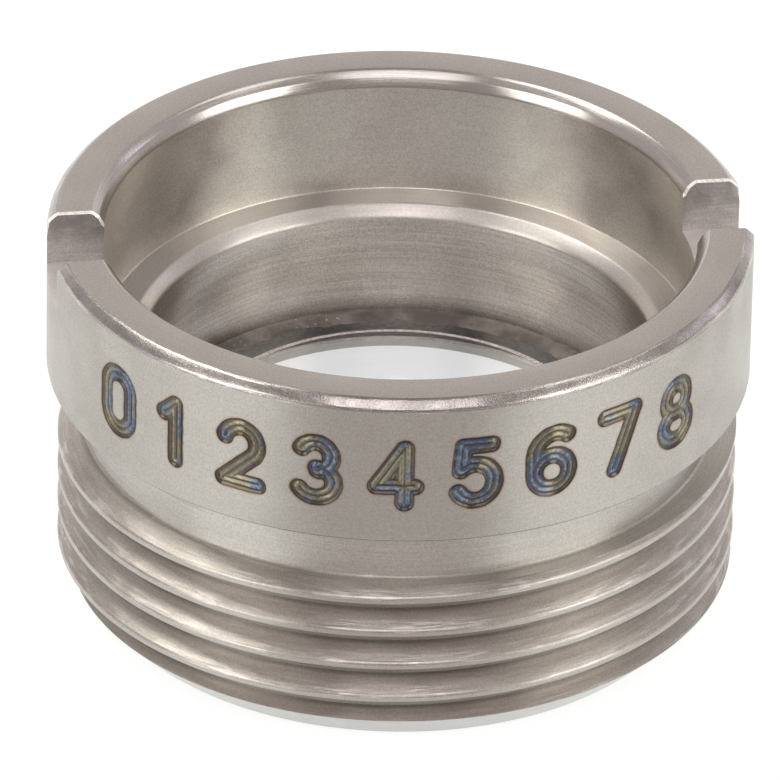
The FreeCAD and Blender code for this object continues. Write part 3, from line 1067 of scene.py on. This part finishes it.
class MOUNTEDLENS_OT_cell(bpy.types.Operator):
    """Turn the cell, cut its thread and mill its spanner slots"""

    bl_idname = "mounted_lens.cell"
    bl_label = "Lens Cell"

    def execute(self, context):
        cell = settings("lens_cell_sizes")
        thread = settings("lens_thread_sizes")
        piece = cell_blank()
        carve(piece, threaded_bar(), "INTERSECT")
        carve(piece, slot_cutter(), "DIFFERENCE")
        names = list(CELL_FINISHES)
        piece.data.materials.clear()
        for name in names:
            piece.data.materials.append(bpy.data.materials[name])
        bm = bmesh.new()
        bm.from_mesh(piece.data)
        bm.verts.sort(key=lambda vert: vert.co.dot(WELD_ORDER))
        bmesh.ops.remove_doubles(bm, verts=bm.verts, dist=SLIVER)
        bmesh.ops.dissolve_degenerate(bm, edges=bm.edges, dist=WELD)
        bmesh.ops.recalc_face_normals(bm, faces=bm.faces)
        for face in bm.faces:
            face.material_index = names.index(cell_surface(face, cell, thread))
        raise_burrs(bm, names, cell)
        engrave_marks(bm, names, cell)
        bm.to_mesh(piece.data)
        bm.free()
        complete(piece, "lens_cell")
        return {"FINISHED"}


def sag(distance, lens):
    """Depth of the aspheric surface below its vertex."""
    bend = 1 - (1 + lens["conic"]) * (distance / lens["vertex_radius"]) ** 2
    return distance ** 2 / (lens["vertex_radius"] * (1 + math.sqrt(bend)))


class MOUNTEDLENS_OT_lens(bpy.types.Operator):
    """Mould the lens with its aspheric surface, flange and chamfered rim"""

    bl_idname = "mounted_lens.lens"
    bl_label = "Aspheric Lens"

    def execute(self, context):
        lens = settings("lens_glass_sizes")
        base = LENS_LOW.z / MM
        flange = base + lens["flange"]
        edge = lens["radius"] - lens["flange_width"] - lens["step"]
        vertex = flange + lens["step"] + sag(edge, lens)
        outline = []
        for ring in range(lens["rings"] + 1):
            distance = (edge - lens["frosted"]) * ring / lens["rings"]
            outline.append((distance, vertex - sag(distance, lens)))
        outline += [
            (edge, vertex - sag(edge, lens)),
            (edge + lens["step"], flange),
            (lens["radius"] - lens["rim_chamfer"], flange),
            (lens["radius"], flange - lens["rim_chamfer"]),
            (lens["radius"], base + lens["rim_chamfer"]),
            (lens["radius"] - lens["rim_chamfer"], base),
            (0, base),
        ]
        bm = bmesh.new()
        verts = [bm.verts.new((distance, 0, height)) for distance, height in outline]
        for first, second in zip(verts, verts[1:]):
            bm.edges.new((first, second))
        spin_section(bm, LENS_STEPS)
        for face in bm.faces:
            middle = face.calc_center_median()
            radius = math.hypot(middle.x, middle.y)
            if radius > lens["radius"] - lens["rim_chamfer"]:
                face.material_index = 1
            elif radius > edge - lens["frosted"] and middle.z > flange + WELD:
                face.material_index = 2
        piece = to_object(bm, "moulded_lens")
        for name in ("coated_glass", "bonded_rim", "moulded_edge"):
            piece.data.materials.append(bpy.data.materials[name])
        complete(piece, "aspheric_lens", 20.0)
        return {"FINISHED"}


class MOUNTEDLENS_OT_bond(bpy.types.Operator):
    """Lay the uneven bead of adhesive round the lens's rim"""

    bl_idname = "mounted_lens.bond"
    bl_label = "Adhesive"

    def execute(self, context):
        bond = settings("lens_bond_sizes")
        lens = settings("lens_glass_sizes")
        low = BOND_LOW.z / MM
        high = BOND_HIGH.z / MM
        flange = low + lens["flange"]
        slope = lens["rim_chamfer"]
        brim = bond["inner"] - slope
        bm = closed_section((
            (bond["inner"], low + slope, 0),
            (brim, low, 0),
            (bond["outer"], low, 0),
            (bond["outer"], high, 0),
            ((bond["outer"] + bond["inner"]) / 2, flange + 0.6 * bond["film"], 0),
            (bond["inner"], flange + 1.1 * bond["film"], 0),
            (brim, flange + bond["film"], 0),
            (brim - bond["overlap"], flange, 0),
            (brim, flange, 0),
            (bond["inner"], flange - slope, 0),
        ))
        spin_section(bm, LENS_STEPS)
        for vert in bm.verts:
            radius = math.hypot(vert.co.x, vert.co.y)
            spot = Vector((vert.co.x, vert.co.y, 0))
            if radius < brim - WELD and abs(vert.co.z - flange) < WELD:
                uneven = 0.5 * noise.noise(spot * 1.7) + 0.3 * noise.noise(spot * 6)
                vert.co += spot.normalized() * bond["overlap"] * uneven
            elif vert.co.z > flange + WELD and radius < bond["outer"] - WELD:
                vert.co.z += bond["film"] * 0.5 * noise.noise(spot * 3.1)
        piece = to_object(bm, "adhesive_bead")
        piece.data.materials.append(bpy.data.materials["cured_adhesive"])
        complete(piece, "bond_ring", 40.0)
        return {"FINISHED"}


def floor_material(front):
    """Pale paper; in reflections and through glass it has a painted shade on the camera's side."""
    material, tree, shader = new_material("studio_floor")
    shader.inputs["Roughness"].default_value = 0.9
    place = object_place(tree)
    away = add_node(tree, "ShaderNodeVectorMath", operation="LENGTH")
    feed(tree, away.inputs[0], place)
    ahead = add_node(tree, "ShaderNodeVectorMath", operation="DOT_PRODUCT")
    feed(tree, ahead.inputs[0], place)
    ahead.inputs[1].default_value = front
    aligned = maths(tree, "DIVIDE", ahead.outputs["Value"], away.outputs["Value"])
    far = ramp(tree, away.outputs["Value"], 4.0 * MM, 8.5 * MM)
    under = maths(tree, "MULTIPLY", ramp(tree, away.outputs["Value"], 0.3 * MM, 1.5 * MM),
                  ramp(tree, away.outputs["Value"], 3.1 * MM, 3.6 * MM, 0.8, 0.0))
    # Painted shade on the camera's side: far out on the floor, and under the lens inside the opening
    shade = maths(tree, "MULTIPLY", ramp(tree, aligned, 0.8, 0.97), maths(tree, "ADD", far, under))
    path = add_node(tree, "ShaderNodeLightPath")
    not_camera = maths(tree, "SUBTRACT", 1.0, path.outputs["Is Camera Ray"])
    shade = maths(tree, "MULTIPLY", shade, not_camera)
    feed(tree, shader.inputs["Base Color"], blend_colours(tree, shade, FLOOR_PAPER, FLOOR_SHADE))
    feed(tree, shader.inputs["Emission Color"], blend_colours(tree, shade, FLOOR_WHITE, FLOOR_DIM))
    seen = maths(tree, "ADD", path.outputs["Is Camera Ray"], path.outputs["Is Glossy Ray"])
    seen = maths(tree, "ADD", seen, path.outputs["Is Transmission Ray"], clamp=True)
    feed(tree, shader.inputs["Emission Strength"], maths(tree, "MULTIPLY", seen, FLOOR_GLOW))
    return material


def studio_world(front):
    """A soft room, pale at the back and dim on the camera's side; the camera sees it white."""
    world = bpy.data.worlds.new("soft_room")
    world.use_nodes = True
    tree = world.node_tree
    background = tree.nodes["Background"]
    way = add_node(tree, "ShaderNodeTexCoord").outputs["Generated"]
    towards = add_node(tree, "ShaderNodeVectorMath", operation="DOT_PRODUCT")
    feed(tree, towards.inputs[0], way)
    towards.inputs[1].default_value = front
    aside = ramp(tree, towards.outputs["Value"], -0.93, -0.6)
    dim = ramp(tree, towards.outputs["Value"], 0.0, 0.9)
    split = add_node(tree, "ShaderNodeSeparateXYZ")
    feed(tree, split.inputs[0], way)
    above = ramp(tree, split.outputs["Z"], 0.65, 0.98)
    room = blend_colours(tree, aside, ROOM_BACK, ROOM_SIDES)
    room = blend_colours(tree, dim, room, ROOM_FRONT)
    room = blend_colours(tree, above, room, ROOM_TOP)
    path = add_node(tree, "ShaderNodeLightPath")
    feed(tree, background.inputs["Color"],
         blend_colours(tree, path.outputs["Is Camera Ray"], room, WHITE))
    bpy.context.scene.world = world


def direction(azimuth, elevation):
    """A unit vector towards this azimuth and elevation, in radians."""
    flat = math.cos(elevation)
    return Vector((math.cos(azimuth) * flat, math.sin(azimuth) * flat, math.sin(elevation)))


def soft_lamp(name, azimuth, elevation, distance, width, height, brightness, tint, target):
    """A rectangular lamp that faces the object; azimuth is counted from the camera's."""
    studio = settings("lens_studio")
    way = direction(studio["azimuth"] + math.radians(azimuth), math.radians(elevation))
    data = bpy.data.lights.new(name, "AREA")
    data.shape = "RECTANGLE"
    data.size = width
    data.size_y = height
    data.energy = brightness * math.pi * width * height
    data.color = tint
    lamp = bpy.data.objects.new(name, data)
    lamp.location = target + way * distance
    lamp.rotation_mode = "QUATERNION"
    lamp.rotation_quaternion = way.to_track_quat("Z", "Y")
    bpy.context.scene.collection.objects.link(lamp)


# The room's light: at the back, at the sides, above, and on the camera's side
ROOM_BACK = (0.97, 0.92, 0.9, 1)
ROOM_SIDES = (0.6, 0.565, 0.55, 1)
ROOM_TOP = (0.42, 0.4, 0.39, 1)
ROOM_FRONT = (0.4, 0.37, 0.355, 1)

# The floor's paper and the glow that rays see in it, each plain and under the shade painted on the
# camera's side
FLOOR_PAPER = (0.3, 0.31, 0.31, 1)
FLOOR_SHADE = (0.2, 0.19, 0.185, 1)
FLOOR_WHITE = (0.99, 1.0, 0.985, 1)
FLOOR_DIM = (0.52, 0.49, 0.47, 1)
FLOOR_GLOW = 0.8
# How far the floor lies below the cell, in millimetres
FLOOR_GAP = 0.01

# Lamps: azimuth from the camera's and elevation in degrees; distance, width and height in
# metres; brightness of the panel, where 1 is white; and tint
LAMPS = {
    "front_panel": (0, 50, 0.4, 0.24, 0.32, 1.55, (1.0, 0.94, 0.93)),
    "left_low": (-56, 24, 0.4, 0.2, 0.22, 2.7, (1.0, 0.99, 0.9)),
    "right_low": (62, 24, 0.4, 0.24, 0.22, 2.7, (1.0, 0.99, 0.9)),
    "left_high": (-110, 58, 0.4, 0.2, 0.2, 3.2, (1.0, 0.99, 0.9)),
    "right_high": (102, 62, 0.4, 0.2, 0.13, 1.4, (1.0, 0.99, 0.9)),
    "cool_strip": (118, 24, 0.4, 0.12, 0.035, 1.3, (0.86, 0.82, 1.0)),
}


class MOUNTEDLENS_OT_stage(bpy.types.Operator):
    """Set up the floor, the soft lamps, the room and the camera"""

    bl_idname = "mounted_lens.stage"
    bl_label = "Studio"

    def execute(self, context):
        studio = settings("lens_studio")
        bm = bmesh.new()
        bmesh.ops.create_circle(
            bm, cap_ends=True, cap_tris=False, segments=96, radius=studio["floor_radius"] * MM)
        bmesh.ops.translate(bm, vec=(0, 0, -FLOOR_GAP * MM), verts=bm.verts)
        floor = to_object(bm, "floor")
        front = direction(studio["azimuth"], 0.0)
        floor.data.materials.append(floor_material(front))
        studio_world(front)
        target = Vector((0, 0, studio["aim_height"] * MM))
        for name, values in LAMPS.items():
            soft_lamp(name, *values, target)
        way = direction(studio["azimuth"], studio["elevation"])
        data = bpy.data.cameras.new("photo_camera")
        data.sensor_width = 36.0
        data.lens = studio["focal_length"]
        data.shift_x = studio["shift_x"]
        data.shift_y = studio["shift_y"]
        data.clip_start = 0.01
        camera = bpy.data.objects.new("photo_camera", data)
        camera.location = target + way * (studio["distance"] * MM)
        camera.rotation_mode = "QUATERNION"
        roll = Matrix.Rotation(studio["roll"], 3, "Z").to_quaternion()
        camera.rotation_quaternion = way.to_track_quat("Z", "Y") @ roll
        context.scene.collection.objects.link(camera)
        context.scene.camera = camera
        context.scene.view_settings.view_transform = "Standard"
        return {"FINISHED"}


class MOUNTEDLENS_PT_panel(bpy.types.Panel):
    """Lists the steps in the order in which they are run"""

    bl_idname = "MOUNTEDLENS_PT_panel"
    bl_label = "Mounted Lens"
    bl_space_type = "VIEW_3D"
    bl_region_type = "UI"
    bl_category = "Lens"

    def draw(self, context):
        for step in STEPS:
            self.layout.operator(step.bl_idname)
        for name in GROUPS:
            box = self.layout.box()
            group = getattr(context.scene, name)
            for key in group.__annotations__:
                box.prop(group, key)


STEPS = (
    MOUNTEDLENS_OT_finishes,
    MOUNTEDLENS_OT_stage,
    MOUNTEDLENS_OT_cell,
    MOUNTEDLENS_OT_lens,
    MOUNTEDLENS_OT_bond,
)


def register():
    """Register the classes and give the scene its settings."""
    for cls in (*GROUPS.values(), *STEPS, MOUNTEDLENS_PT_panel):
        bpy.utils.register_class(cls)
    for name, cls in GROUPS.items():
        setattr(bpy.types.Scene, name, PointerProperty(type=cls))


def unregister():
    """Take both away again."""
    for name in GROUPS:
        delattr(bpy.types.Scene, name)
    for cls in reversed((*GROUPS.values(), *STEPS, MOUNTEDLENS_PT_panel)):
        bpy.utils.unregister_class(cls)


def main():
    """Run every step in order."""
    register()
    for step in STEPS:
        group, name = step.bl_idname.split(".")
        getattr(getattr(bpy.ops, group), name)()


if __name__ == "__main__":
    main()
